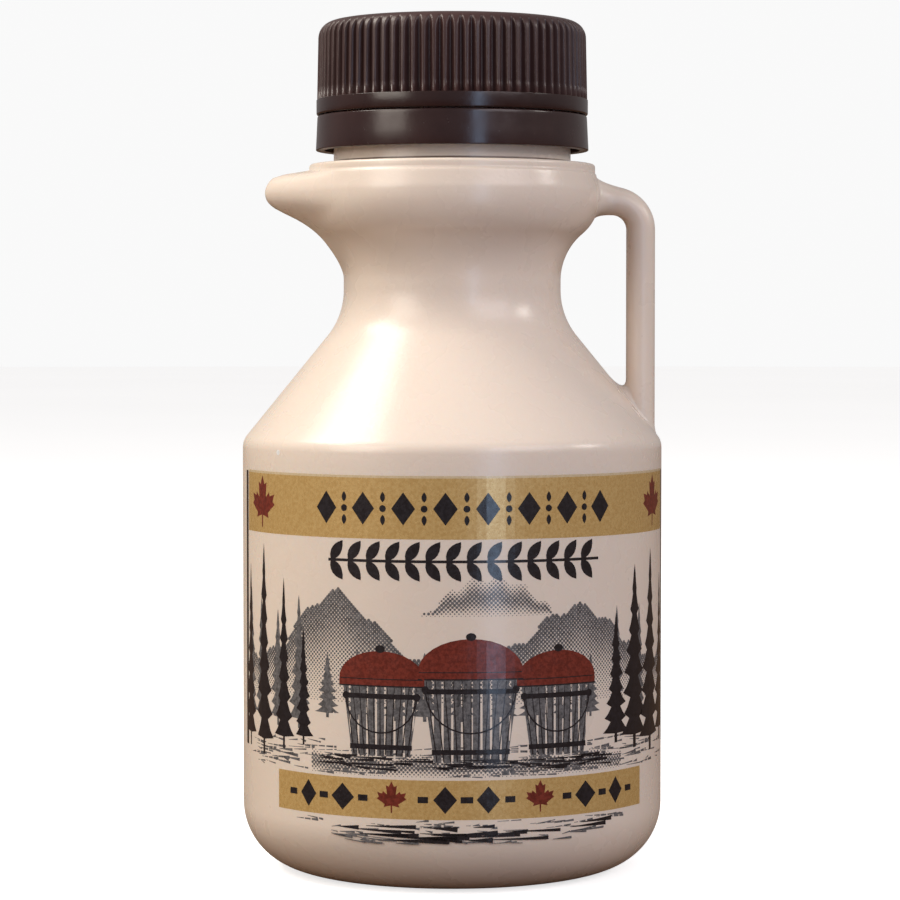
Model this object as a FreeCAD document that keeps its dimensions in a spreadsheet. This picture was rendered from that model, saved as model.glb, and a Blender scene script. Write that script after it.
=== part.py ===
"""Small moulded syrup jug: a round body, a tapered shoulder, a waist under a flared
pitcher rim with a pouring lip and a loop handle, a ribbed screw cap and the tamper ring
below it. Millimetres, +Z up, origin at the middle of the base. The front of the jug
faces -Y, the handle is at +X and the lip at -X.
"""
import FreeCAD, Part

import math
import os
import sys

import Sketcher

# Driving sizes: alias, value, meaning. Heights are rises from the piece below.
SIZES = (
    ("body_dia", 63.5, "outside diameter of the body"),
    ("body_side", 64.6, "base to the shoulder's corner"),
    ("base_round", 10.0, "radius of the body's bottom edge"),
    ("recess_dia", 34.0, "shallow recess under the base"),
    ("recess_depth", 1.0, "depth of that recess"),
    ("shoulder_rise", 18.8, "height of the tapered shoulder"),
    ("shoulder_round", 2.8, "radius where body meets shoulder"),
    ("waist_dia", 32.84, "narrowest diameter"),
    ("waist_length", 9.6, "shoulder's top corner to the flare's foot corner"),
    ("waist_low_round", 11.0, "hollow radius, shoulder into waist"),
    ("waist_high_round", 9.2, "hollow radius, waist into flare"),
    ("flare_rise", 4.95, "height of the flare under the rim"),
    ("rim_round", 7.2, "radius under the rim"),
    ("rim_side", 4.25, "straight height of the rim"),
    ("rim_lean", 2.5, "height over which the rim leans in"),
    ("rim_lean_in", 0.55, "how far it leans in over that height"),
    ("rim_step", 0.15, "rim's top edge beyond the flange"),
    ("flange_ledge", 3.7, "flat flange's edge beyond the neck"),
    ("flange_thick", 1.5, "its thickness"),
    ("flange_round", 0.5, "its edge radius"),
    ("lip_length", 6.1, "lip's tip beyond the rim"),
    ("lip_step", 0.1, "lip's top below the flange's underside"),
    ("lip_height", 3.75, "lip's top to the corner under its tip"),
    ("lip_rise", 8.25, "height of the lip's sloping underside"),
    ("lip_bury", 2.0, "underside's start inside the waist"),
    ("lip_under_round", 3.2, "radius under the tip"),
    ("lip_top_round", 2.0, "radius over the tip"),
    ("lip_tip_dia", 6.0, "roundness of the tip seen from above"),
    ("lip_inset", 0.3, "lip's sides touch a circle this far inside the rim"),
    ("handle_inset", 0.9, "handle's outer face inside the body's side"),
    ("handle_drop", 1.75, "handle's top below the flange's underside"),
    ("handle_thick", 4.3, "handle bar, seen from the front"),
    ("handle_width", 6.4, "handle bar, seen from the side"),
    ("handle_bend", 4.35, "bend radius at the bar's centre line"),
    ("handle_bury", 4.0, "how far each end runs into the jug"),
    ("neck_dia", 35.8, "neck that the cap covers"),
    ("ring_gap", 2.05, "flange to the tamper ring"),
    ("ring_height", 5.1, "tamper ring's height"),
    ("ring_clear", 1.4, "neck to the ring's inside"),
    ("ring_wall", 1.05, "ring's wall at its top"),
    ("ring_flare", 0.25, "ring's wall is thicker by this at its foot"),
    ("slit", 0.25, "gap between ring and cap"),
    ("bridge_count", 12, "breakable bridges across the slit"),
    ("bridge_width", 0.8, "each bridge along the slit"),
    ("bridge_depth", 0.6, "each bridge across the wall"),
    ("bridge_inset", 0.25, "bridges set back from the ring's outside"),
    ("cap_height", 14.05, "cap without its ring"),
    ("cap_clear", 0.4, "neck to the cap's inside"),
    ("cap_top_wall", 1.6, "thickness of the cap's top"),
    ("cap_wall", 1.1, "skirt's wall at the bottom of a groove"),
    ("rib_depth", 0.75, "depth of the grooves at the top"),
    ("rib_draft", 0.25, "ribs stand out further by this at their foot"),
    ("rib_count", 80, "ribs round the cap"),
    ("groove_floor", 0.3, "width of a groove at its bottom"),
    ("groove_mouth", 1.0, "width of a groove at its mouth"),
    ("collar_height", 2.3, "plain collar under the ribs"),
    ("collar_step", 0.1, "collar stands proud of the ribs"),
    ("cap_edge_round", 2.5, "radius round the cap's top"),
    ("collar_round", 0.25, "radius on the collar's bottom edge"),
)

# Steps of the lip's two edge roundings: shares of the turn below the tip, degrees above.
LIP_UNDER_SHARES = (1.0, 0.75, 0.5, 0.25, 0.0)
LIP_TOP_DEGREES = (20, 45, 70, 90)

doc = FreeCAD.newDocument("syrup_jug")


def make_sheet():
    """Spreadsheet of driving sizes: one plain number with an alias on each row."""
    sheet = doc.addObject("Spreadsheet::Sheet", "Sizes")
    for row, (alias, value, meaning) in enumerate(SIZES, start=1):
        sheet.set(f"A{row}", alias)
        sheet.set(f"B{row}", str(value))
        sheet.setAlias(f"B{row}", alias)
        sheet.set(f"C{row}", meaning)
    doc.recompute()
    return sheet


SHEET = make_sheet()


def cell(alias):
    return f"Sizes.{alias}"


def total(*aliases):
    """Expression that adds up cells."""
    return " + ".join(cell(alias) for alias in aliases)


def half(alias):
    return f"{cell(alias)} / 2"


def value(expression):
    """Present number of an expression on the sheet."""
    return float(SHEET.evalExpression(str(expression)))


# Levels, as expressions that add up the rises below them.
SHOULDER = total("body_side")
WAIST_LOW = total("body_side", "shoulder_rise")
WAIST_HIGH = f"{WAIST_LOW} + {total('waist_length')}"
RIM_FOOT = f"{WAIST_HIGH} + {total('flare_rise')}"
RIM_LEAN = f"{RIM_FOOT} + {total('rim_side')}"
RIM_TOP = f"{RIM_LEAN} + {total('rim_lean')}"
FLANGE_TOP = f"{RIM_TOP} + {total('flange_thick')}"
RING_FOOT = f"{FLANGE_TOP} + {total('ring_gap')}"
RING_TOP = f"{RING_FOOT} + {total('ring_height')}"
CAP_FOOT = f"{RING_TOP} + {total('slit')}"
COLLAR_TOP = f"{CAP_FOOT} + {total('collar_height')}"
CAP_TOP = f"{CAP_FOOT} + {total('cap_height')}"
NECK_TOP = f"{CAP_TOP} - {cell('cap_top_wall')}"
LIP_TOP = f"{RIM_TOP} - {cell('lip_step')}"

# Radii that several pieces share.
BODY_R = half("body_dia")
WAIST_R = half("waist_dia")
NECK_R = half("neck_dia")
FLANGE_R = f"{NECK_R} + {cell('flange_ledge')}"
RIM_TOP_R = f"{FLANGE_R} + {cell('rim_step')}"
RIM_R = f"({RIM_TOP_R} + {cell('rim_lean_in')})"
CAP_BORE_R = f"{NECK_R} + {cell('cap_clear')}"
GROOVE_R = f"{CAP_BORE_R} + {cell('cap_wall')}"
RIB_TOP_R = f"{GROOVE_R} + {cell('rib_depth')}"
RIB_FOOT_R = f"{RIB_TOP_R} + {cell('rib_draft')}"
COLLAR_R = f"{RIB_FOOT_R} + {cell('collar_step')}"
RING_BORE_R = f"{NECK_R} + {cell('ring_clear')}"
RING_TOP_R = f"{RING_BORE_R} + {cell('ring_wall')}"
RING_FOOT_R = f"{RING_TOP_R} + {cell('ring_flare')}"


def origin_feature(body, role):
    return next(f for f in body.Origin.OriginFeatures if f.Role == role)


def new_body(name):
    body = doc.addObject("PartDesign::Body", name)
    body.Label = name
    body.Placement = FreeCAD.Placement()
    return body


def new_sketch(body, name, plane, level=None):
    """Empty sketch on an origin plane, lifted to a level if one is given."""
    sketch = body.newObject("Sketcher::SketchObject", name)
    sketch.AttachmentSupport = (origin_feature(body, plane), "")
    sketch.MapMode = "FlatFace"
    if level is not None:
        sketch.setExpression("AttachmentOffset.Base.z", level)
    return sketch


def pin_point(sketch, geometry, which, across, up):
    """Binds one sketch point's two coordinates to expressions."""
    for kind, expression in (("DistanceX", across), ("DistanceY", up)):
        index = sketch.addConstraint(
            Sketcher.Constraint(kind, -1, 1, geometry, which, value(expression)))
        sketch.setExpression(f"Constraints[{index}]", str(expression))


def add_outline(sketch, corners):
    """Closed outline of straight sides. Each corner is a pair of expressions, with a
    third one, its radius, where it is rounded."""
    points = [FreeCAD.Vector(value(corner[0]), value(corner[1]), 0) for corner in corners]
    count = len(points)
    leaving, arriving, arcs = list(points), list(points), {}
    for number, corner in enumerate(corners):
        if len(corner) < 3:
            continue
        at, radius = points[number], value(corner[2])
        back = (points[number - 1] - at).normalize()
        ahead = (points[(number + 1) % count] - at).normalize()
        opening = back.getAngle(ahead) / 2
        arriving[number] = at + back * (radius / math.tan(opening))
        leaving[number] = at + ahead * (radius / math.tan(opening))
        centre = at + (back + ahead).normalize() * (radius / math.sin(opening))
        left_turn = ahead.cross(back).z > 0
        ends = [arriving[number] - centre, leaving[number] - centre]
        if not left_turn:
            ends.reverse()
        start, end = (math.atan2(offset.y, offset.x) for offset in ends)
        arcs[number] = (centre, radius, start, end, left_turn)

    for number in range(count):
        sketch.addGeometry(Part.LineSegment(leaving[number], arriving[(number + 1) % count]))
    for number, corner in enumerate(corners):
        before = (number - 1) % count
        if number not in arcs:
            sketch.addConstraint(Sketcher.Constraint("Coincident", before, 2, number, 1))
            pin_point(sketch, number, 1, corner[0], corner[1])
            continue
        centre, radius, start, end, left_turn = arcs[number]
        circle = Part.Circle(centre, FreeCAD.Vector(0, 0, 1), radius)
        arc = sketch.addGeometry(Part.ArcOfCircle(circle, start, end))
        first, last = (1, 2) if left_turn else (2, 1)
        sketch.addConstraint(Sketcher.Constraint("Tangent", before, 2, arc, first))
        sketch.addConstraint(Sketcher.Constraint("Tangent", arc, last, number, 1))
        tip = sketch.addGeometry(Part.Point(points[number]), True)
        sketch.addConstraint(Sketcher.Constraint("PointOnObject", tip, 1, before))
        sketch.addConstraint(Sketcher.Constraint("PointOnObject", tip, 1, number))
        pin_point(sketch, tip, 1, corner[0], corner[1])
        index = sketch.addConstraint(Sketcher.Constraint("Radius", arc, radius))
        sketch.setExpression(f"Constraints[{index}]", str(corner[2]))


def revolve(body, name, corners):
    """Turns an outline in the XZ plane round the Z axis."""
    sketch = new_sketch(body, f"{name}_outline", "XZ_Plane")
    add_outline(sketch, corners)
    turn = body.newObject("PartDesign::Revolution", name)
    turn.Profile = sketch
    turn.ReferenceAxis = (sketch, ["V_Axis"])
    turn.Angle = 360
    doc.recompute()
    return turn


def limited(alias, run, rise, room):
    """Fillet radius from the sheet, kept within the room beside a sloping wall."""
    turn = f"atan(({run}) / ({rise}))"
    return f"min({cell(alias)}; {room} / tan({turn} / 2))"


def jug_turned(body):
    """Body, shoulder, waist, rim, flange and neck as one turned solid."""
    recess_r = half("recess_dia")
    shoulder_run = f"{BODY_R} - {WAIST_R}"
    flare_run = f"{RIM_R} - {WAIST_R}"
    waist_room = f"0.48 * {cell('waist_length')}"
    flare = f"sqrt(({flare_run})^2 + {cell('flare_rise')}^2)"
    flare_low, flare_high = f"0.56 * {flare}", f"0.44 * {flare}"
    waist_low = limited("waist_low_round", shoulder_run, cell("shoulder_rise"), waist_room)
    waist_high = limited("waist_high_round", flare_run, cell("flare_rise"),
                         f"min({waist_room}; {flare_low})")
    rim_under = limited("rim_round", flare_run, cell("flare_rise"), flare_high)
    return revolve(body, "turned", (
        ("0", cell("recess_depth")),
        (f"{recess_r} - {cell('recess_depth')}", cell("recess_depth")),
        (recess_r, "0"),
        (BODY_R, "0", cell("base_round")),
        (BODY_R, SHOULDER, cell("shoulder_round")),
        (WAIST_R, WAIST_LOW, waist_low),
        (WAIST_R, WAIST_HIGH, waist_high),
        (RIM_R, RIM_FOOT, rim_under),
        (RIM_R, RIM_LEAN),
        (RIM_TOP_R, RIM_TOP),
        (FLANGE_R, RIM_TOP),
        (FLANGE_R, FLANGE_TOP, cell("flange_round")),
        (NECK_R, FLANGE_TOP),
        (NECK_R, NECK_TOP),
        ("0", NECK_TOP),
    ))


def add_capsule(sketch, first, second, first_r, second_r):
    """Outline round two circles joined by straight tangents. The circles' centres are
    pairs of expressions, apart along the sketch's X axis, the second at the lower X."""
    one = FreeCAD.Vector(value(first[0]), value(first[1]), 0)
    two = FreeCAD.Vector(value(second[0]), value(second[1]), 0)
    radius_one, radius_two = value(first_r), value(second_r)
    lean = math.acos((radius_one - radius_two) / (one.x - two.x))
    start, end = math.pi - lean, math.pi + lean
    normal = FreeCAD.Vector(0, 0, 1)

    def rim(centre, radius, angle):
        return centre + FreeCAD.Vector(radius * math.cos(angle), radius * math.sin(angle), 0)

    circle_one = Part.Circle(one, normal, radius_one)
    circle_two = Part.Circle(two, normal, radius_two)
    arc_one = sketch.addGeometry(Part.ArcOfCircle(circle_one, end - 2 * math.pi, start))
    upper = sketch.addGeometry(
        Part.LineSegment(rim(one, radius_one, start), rim(two, radius_two, start)))
    arc_two = sketch.addGeometry(Part.ArcOfCircle(circle_two, start, end))
    lower = sketch.addGeometry(
        Part.LineSegment(rim(two, radius_two, end), rim(one, radius_one, end)))
    for before, after, at in ((arc_one, upper, 1), (upper, arc_two, 1),
                              (arc_two, lower, 1), (lower, arc_one, 1)):
        sketch.addConstraint(Sketcher.Constraint("Tangent", before, 2, after, at))
    pin_point(sketch, arc_one, 3, *first)
    pin_point(sketch, arc_two, 3, *second)
    for arc, size in ((arc_one, first_r), (arc_two, second_r)):
        index = sketch.addConstraint(Sketcher.Constraint("Radius", arc, value(size)))
        sketch.setExpression(f"Constraints[{index}]", size)


def add_nose(sketch, reach):
    """Outline of the lip at one level: a round tip towards -X, two straight sides and
    the chord that closes them inside the jug. It is the same outline at every level,
    moved along X so that its tip lies at reach."""
    tip_r = half("lip_tip_dia")
    rim = f"({RIM_R} - {cell('lip_inset')})"
    far = f"({RIM_R} + {cell('lip_length')})"
    lean = f"acos(({rim} - {tip_r}) / ({far} - {tip_r}))"
    centre_x = f"{tip_r} - ({reach})"
    chord_x = f"{far} - ({reach}) - {rim} * cos({lean})"
    chord_y = f"{rim} * sin({lean})"

    radius, angle = value(tip_r), math.radians(value(lean))
    foot = FreeCAD.Vector(value(chord_x), value(chord_y), 0)
    touch = FreeCAD.Vector(value(centre_x) - radius * math.cos(angle), radius * math.sin(angle), 0)
    foot_low, touch_low = (FreeCAD.Vector(at.x, -at.y, 0) for at in (foot, touch))
    circle = Part.Circle(FreeCAD.Vector(value(centre_x), 0, 0), FreeCAD.Vector(0, 0, 1), radius)
    arc = sketch.addGeometry(Part.ArcOfCircle(circle, math.pi - angle, math.pi + angle))
    lower = sketch.addGeometry(Part.LineSegment(touch_low, foot_low))
    chord = sketch.addGeometry(Part.LineSegment(foot_low, foot))
    upper = sketch.addGeometry(Part.LineSegment(foot, touch))
    sketch.addConstraint(Sketcher.Constraint("Tangent", arc, 2, lower, 1))
    sketch.addConstraint(Sketcher.Constraint("Tangent", upper, 2, arc, 1))
    sketch.addConstraint(Sketcher.Constraint("Coincident", lower, 2, chord, 1))
    sketch.addConstraint(Sketcher.Constraint("Coincident", chord, 2, upper, 1))
    pin_point(sketch, arc, 3, centre_x, "0")
    pin_point(sketch, upper, 1, chord_x, chord_y)
    pin_point(sketch, chord, 1, chord_x, f"0 - {chord_y}")
    index = sketch.addConstraint(Sketcher.Constraint("Radius", arc, radius))
    sketch.setExpression(f"Constraints[{index}]", tip_r)


def lip_stations():
    """Reach and level along the lip's tip line, from inside the waist to its top."""
    tip = f"({RIM_R} + {cell('lip_length')})"
    corner = f"({LIP_TOP} - {cell('lip_height')})"
    run, rise = f"({tip} - {WAIST_R})", cell("lip_rise")
    slope = f"atan({run} / {rise})"
    under, top = cell("lip_under_round"), cell("lip_top_round")
    under_run = f"{under} * tan({slope} / 2)"
    bury = cell("lip_bury")
    stations = [(f"{WAIST_R} - {bury}", f"{corner} - {rise} - {bury} * {rise} / {run}")]
    for share in LIP_UNDER_SHARES:
        turn = f"{share} * {slope}"
        stations.append((f"{tip} - {under} * (1 - cos({turn}))",
                         f"{corner} + {under_run} - {under} * sin({turn})"))
    for degrees in LIP_TOP_DEGREES:
        turn = f"{degrees} deg"
        stations.append((f"{tip} - {top} * (1 - cos({turn}))",
                         f"{LIP_TOP} - {top} * (1 - sin({turn}))"))
    return stations


def pouring_lip(body):
    """Lip lofted through the same pointed outline, drawn in towards the waist."""
    sections = []
    for number, (reach, level) in enumerate(lip_stations()):
        sketch = new_sketch(body, f"lip_section_{number}", "XY_Plane", level)
        add_nose(sketch, reach)
        sections.append(sketch)
    loft = body.newObject("PartDesign::AdditiveLoft", "lip")
    loft.Profile = sections[0]
    loft.Sections = sections[1:]
    loft.Ruled = True
    doc.recompute()
    return loft


def handle(body):
    """Handle bar swept out of the rim, round a bend and down into the shoulder."""
    outer = f"({BODY_R} - {cell('handle_inset')})"
    bar_x = f"({outer} - {half('handle_thick')})"
    bar_z = f"({RIM_TOP} - {cell('handle_drop')} - {half('handle_thick')})"
    bend = cell("handle_bend")
    start = f"({RIM_R} - {cell('handle_bury')})"
    end = f"({SHOULDER} - {cell('handle_bury')} / 2)"

    path = new_sketch(body, "handle_path", "XZ_Plane")
    bend_x, bend_z = value(f"{bar_x} - {bend}"), value(f"{bar_z} - {bend}")
    centre = FreeCAD.Vector(bend_x, bend_z, 0)
    ends = [FreeCAD.Vector(value(x), value(z), 0) for x, z in (
        (start, bar_z), (f"{bar_x} - {bend}", bar_z), (bar_x, f"{bar_z} - {bend}"), (bar_x, end))]
    arm = path.addGeometry(Part.LineSegment(ends[0], ends[1]))
    circle = Part.Circle(centre, FreeCAD.Vector(0, 0, 1), value(bend))
    turn = path.addGeometry(Part.ArcOfCircle(circle, 0, math.pi / 2))
    post = path.addGeometry(Part.LineSegment(ends[2], ends[3]))
    path.addConstraint(Sketcher.Constraint("Tangent", arm, 2, turn, 2))
    path.addConstraint(Sketcher.Constraint("Tangent", turn, 1, post, 1))
    pin_point(path, arm, 1, start, bar_z)
    path.addConstraint(Sketcher.Constraint("Horizontal", arm))
    pin_point(path, post, 2, bar_x, end)
    path.addConstraint(Sketcher.Constraint("Vertical", post))
    index = path.addConstraint(Sketcher.Constraint("Radius", turn, value(bend)))
    path.setExpression(f"Constraints[{index}]", bend)

    section = new_sketch(body, "handle_section", "YZ_Plane", start)
    off = f"({half('handle_width')} - {half('handle_thick')})"
    add_capsule(section, (off, bar_z), (f"0 - {off}", bar_z),
                half("handle_thick"), half("handle_thick"))
    pipe = body.newObject("PartDesign::AdditivePipe", "handle")
    pipe.Profile = section
    pipe.Spine = (path, ["Edge1", "Edge2", "Edge3"])
    doc.recompute()
    return pipe


def repeat(body, name, feature, count):
    """Repeats a feature evenly round the Z axis."""
    pattern = body.newObject("PartDesign::PolarPattern", name)
    pattern.Originals = [feature]
    pattern.Axis = (origin_feature(body, "Z_Axis"), [""])
    pattern.Angle = 360
    pattern.Occurrences = int(value(cell(count)))
    pattern.setExpression("Occurrences", cell(count))
    body.Tip = pattern
    doc.recompute()
    return pattern


def screw_cap():
    """Cap turned round the neck, with a plain collar and one groove repeated round it."""
    body = new_body("cap")
    revolve(body, "cap_turned", (
        ("0", CAP_TOP),
        (RIB_TOP_R, CAP_TOP, cell("cap_edge_round")),
        (RIB_FOOT_R, COLLAR_TOP),
        (COLLAR_R, COLLAR_TOP),
        (COLLAR_R, CAP_FOOT, cell("collar_round")),
        (CAP_BORE_R, CAP_FOOT),
        (CAP_BORE_R, NECK_TOP),
        ("0", NECK_TOP),
    ))
    section = new_sketch(body, "groove_section", "XY_Plane", COLLAR_TOP)
    floor, mouth = half("groove_floor"), half("groove_mouth")
    flank = f"({mouth} - {floor}) / {cell('rib_depth')}"
    outside = f"{RIB_FOOT_R} + {cell('collar_step')}"
    outside_half = f"{floor} + {flank} * ({outside} - ({GROOVE_R}))"
    add_outline(section, (
        (GROOVE_R, f"0 - {floor}"),
        (outside, f"0 - ({outside_half})"),
        (outside, outside_half),
        (GROOVE_R, floor),
    ))
    groove = body.newObject("PartDesign::Pocket", "groove")
    groove.Profile = section
    groove.Type = "Length"
    groove.setExpression("Length", f"{CAP_TOP} - ({COLLAR_TOP})")
    groove.Reversed = True
    doc.recompute()
    repeat(body, "grooves", groove, "rib_count")
    return body


def tamper_ring():
    """Ring under the cap, joined to it by small bridges across the slit."""
    body = new_body("tamper_band")
    revolve(body, "band_turned", (
        (RING_BORE_R, RING_FOOT),
        (RING_FOOT_R, RING_FOOT),
        (RING_TOP_R, RING_TOP),
        (RING_BORE_R, RING_TOP),
    ))
    section = new_sketch(body, "bridge_section", "XY_Plane", RING_TOP)
    outer = f"{RING_TOP_R} - {cell('bridge_inset')}"
    inner = f"{outer} - {cell('bridge_depth')}"
    side = half("bridge_width")
    add_outline(section, (
        (inner, f"0 - {side}"),
        (outer, f"0 - {side}"),
        (outer, side),
        (inner, side),
    ))
    bridge = body.newObject("PartDesign::Pad", "bridge")
    bridge.Profile = section
    bridge.Type = "Length"
    bridge.setExpression("Length", cell("slit"))
    doc.recompute()
    repeat(body, "bridges", bridge, "bridge_count")
    return body


def main():
    jug = new_body("jug")
    jug_turned(jug)
    handle(jug)
    pouring_lip(jug)
    nodes = [jug, screw_cap(), tamper_ring()]

    doc.recompute()
    for item in doc.Objects:
        if "Invalid" in item.State or "Error" in item.State:
            sys.exit(f"{item.Name} did not rebuild: {item.State}")
    for node in nodes:
        shape = node.Shape
        if shape.isNull() or not shape.isValid() or len(shape.Solids) != 1:
            sys.exit(f"{node.Label} is not one valid solid")

    os.makedirs("parts", exist_ok=True)
    for node in nodes:
        node.Shape.exportStep(os.path.join("parts", f"{node.Label}.step"))


main()
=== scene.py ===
"""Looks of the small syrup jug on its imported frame: moulded jug with lip and handle,
ribbed screw cap, tamper ring and a generic printed panel. The object's lengths are in
millimetres and are scaled to metres where its meshes are made. The stage, the lights and
the camera are in metres.
"""

import math
import random

import bmesh
import bpy
import numpy as np
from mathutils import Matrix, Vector


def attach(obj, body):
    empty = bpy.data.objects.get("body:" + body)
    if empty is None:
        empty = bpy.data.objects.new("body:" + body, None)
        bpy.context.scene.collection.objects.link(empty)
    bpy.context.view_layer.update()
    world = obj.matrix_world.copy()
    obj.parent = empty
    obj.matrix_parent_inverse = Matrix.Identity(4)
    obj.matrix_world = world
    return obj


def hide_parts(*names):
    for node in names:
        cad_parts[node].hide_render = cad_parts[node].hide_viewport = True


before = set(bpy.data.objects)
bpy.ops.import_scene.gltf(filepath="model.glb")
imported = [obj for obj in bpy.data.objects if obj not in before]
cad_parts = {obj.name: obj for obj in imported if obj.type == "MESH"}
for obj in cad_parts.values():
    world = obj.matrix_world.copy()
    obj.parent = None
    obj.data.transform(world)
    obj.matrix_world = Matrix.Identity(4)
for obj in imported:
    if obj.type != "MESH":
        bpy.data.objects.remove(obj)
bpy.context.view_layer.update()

MM = 0.001
SEED = 20


# ---------------------------------------------------------------- mesh helpers

MERGE_METRES = 1e-7
FEWEST_ARC_STEPS = 4
# An outline is straight where it turns by less than this many radians. A straight run
# keeps a point at least every so many millimetres.
STRAIGHT_TURN, LONGEST_RUN = 0.002, 2.2


def raw_mesh(name, vertices, faces):
    """Mesh in metres from points in millimetres."""
    mesh = bpy.data.meshes.new(name)
    mesh.from_pydata([tuple(v * MM for v in point) for point in vertices], [], faces)
    return mesh


def new_piece(name, vertices, faces, materials, slot):
    """Smooth mesh object from points in millimetres, riding on the one body."""
    mesh = raw_mesh(name, vertices, faces)
    mesh.validate()
    mesh.update()
    cleaner = bmesh.new()
    cleaner.from_mesh(mesh)
    bmesh.ops.remove_doubles(cleaner, verts=cleaner.verts, dist=MERGE_METRES)
    bmesh.ops.recalc_face_normals(cleaner, faces=cleaner.faces)
    cleaner.to_mesh(mesh)
    cleaner.free()
    mesh.polygons.foreach_set("use_smooth", [True] * len(mesh.polygons))
    piece = bpy.data.objects.new(name, mesh)
    bpy.context.scene.collection.objects.link(piece)
    for material in materials:
        mesh.materials.append(material)
    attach(piece, "root")
    return piece


def turn_of(column, count):
    return 2 * math.pi * column / count


def ring_of(radii, level):
    """Ring of points round the axis at a level, from the radius of each column."""
    turns = [turn_of(column, len(radii)) for column in range(len(radii))]
    return [(radius * math.cos(turn), radius * math.sin(turn), level)
            for radius, turn in zip(radii, turns)]


def rings_to_mesh(rings, capped=True):
    """Vertices and faces of a tube through rings of equally many points. Each end is
    closed with a fan of triangles if it is capped."""
    count = len(rings[0])
    vertices = [tuple(point) for ring in rings for point in ring]
    faces = []
    for row in range(len(rings) - 1):
        low, high = row * count, (row + 1) * count
        for i in range(count):
            j = (i + 1) % count
            faces.append((low + i, low + j, high + j, high + i))
    if capped:
        for row in (0, len(rings) - 1):
            middle = len(vertices)
            vertices.append(tuple(np.mean(np.array(rings[row]), axis=0)))
            start = row * count
            faces += [(middle, start + i, start + (i + 1) % count) for i in range(count)]
    return vertices, faces


def joined_lists(*meshes):
    vertices, faces = [], []
    for more_vertices, more_faces in meshes:
        start = len(vertices)
        vertices += more_vertices
        faces += [tuple(start + i for i in face) for face in more_faces]
    return vertices, faces


def rotated(vector, angle):
    cosine, sine = math.cos(angle), math.sin(angle)
    return Vector((vector.x * cosine - vector.y * sine, vector.x * sine + vector.y * cosine))


def rounded_profile(corners, spacing):
    """Points (r, z) along straight sides and corner arcs. A corner is (r, z) or
    (r, z, radius)."""
    points = []
    last = None
    for number, corner in enumerate(corners):
        at = Vector(corner[:2])
        run = [at]
        if len(corner) > 2:
            back = (Vector(corners[number - 1][:2]) - at).normalized()
            ahead = (Vector(corners[number + 1][:2]) - at).normalized()
            opening = back.angle(ahead) / 2
            centre = at + (back + ahead).normalized() * (corner[2] / math.sin(opening))
            start = at + back * (corner[2] / math.tan(opening)) - centre
            end = at + ahead * (corner[2] / math.tan(opening)) - centre
            turn = start.angle_signed(end)
            steps = max(FEWEST_ARC_STEPS, int(abs(turn) * corner[2] / spacing) + 1)
            run = [centre + rotated(start, -turn * k / steps) for k in range(steps + 1)]
        if last is not None:
            steps = max(1, int((run[0] - last).length / spacing))
            points += [last.lerp(run[0], k / steps) for k in range(1, steps)]
        points += run
        last = run[-1]
    return [(point.x, point.y) for point in points]


def thinned(outline):
    """Drops points from long straight runs, but keeps both ends of each."""
    kept = [outline[0]]
    for before, here, after in zip(outline, outline[1:], outline[2:]):
        first = Vector(here) - Vector(before)
        second = Vector(after) - Vector(here)
        bends = abs(first.angle_signed(second, 0)) > STRAIGHT_TURN
        if bends or (Vector(here) - Vector(kept[-1])).length > LONGEST_RUN:
            kept.append(here)
    return kept + [outline[-1]]


def smooth_curve(knots, at):
    """Height at one place of a smooth curve through knots (x, y) with rising x."""
    x, y = (np.array(values, float) for values in zip(*knots))
    slopes = np.gradient(y, x)
    at = np.clip(float(at), x[0], x[-1])
    k = np.clip(np.searchsorted(x, at) - 1, 0, len(x) - 2)
    width = x[k + 1] - x[k]
    t = (at - x[k]) / width
    return float(
        (2 * t**3 - 3 * t**2 + 1) * y[k] + (t**3 - 2 * t**2 + t) * width * slopes[k]
        + (3 * t**2 - 2 * t**3) * y[k + 1] + (t**3 - t**2) * width * slopes[k + 1])


# ---------------------------------------------------------------- jug

BODY_R, WAIST_R, RIM_R, FLANGE_R, NECK_R = 31.70, 16.42, 22.3, 21.6, 17.9
RIM_FOOT, RIM_TOP, FLANGE_TOP, NECK_TOP = 97.95, 104.7, 106.2, 126.05

PROFILE = rounded_profile((
    (0, 1.0),
    (15.6, 1.0, 0.8),
    (17.2, 0, 0.5),
    (BODY_R, 0, 9.95),
    (BODY_R, 64.6, 2.8),
    (WAIST_R, 83.4, 11.0),
    (WAIST_R, 93.0, 9.2),
    (RIM_R, RIM_FOOT, 7.2),
    (RIM_R, 102.2, 4.0),
    (21.75, RIM_TOP, 0.12),
    (FLANGE_R, RIM_TOP),
    (FLANGE_R, FLANGE_TOP, 0.45),
    (NECK_R, FLANGE_TOP, 0.35),
    (NECK_R, NECK_TOP),
    (0, NECK_TOP),
), 0.45)
COLUMNS = 288

# Radii and levels of the outside from the body's straight side up to the rim's top, and
# of the shoulder, which is the lower part of it.
SIDE_FOOT, SHOULDER_HEAD = 60, 86
SIDE = [(radius, level) for radius, level in PROFILE if SIDE_FOOT < level < RIM_TOP]
SIDE_RADII, SIDE_LEVELS = (np.array(values) for values in zip(*SIDE))
SHOULDER = [(radius, level) for radius, level in SIDE if level < SHOULDER_HEAD]
SHOULDER_RADII, SHOULDER_LEVELS = (np.array(values) for values in zip(*SHOULDER))

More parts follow.
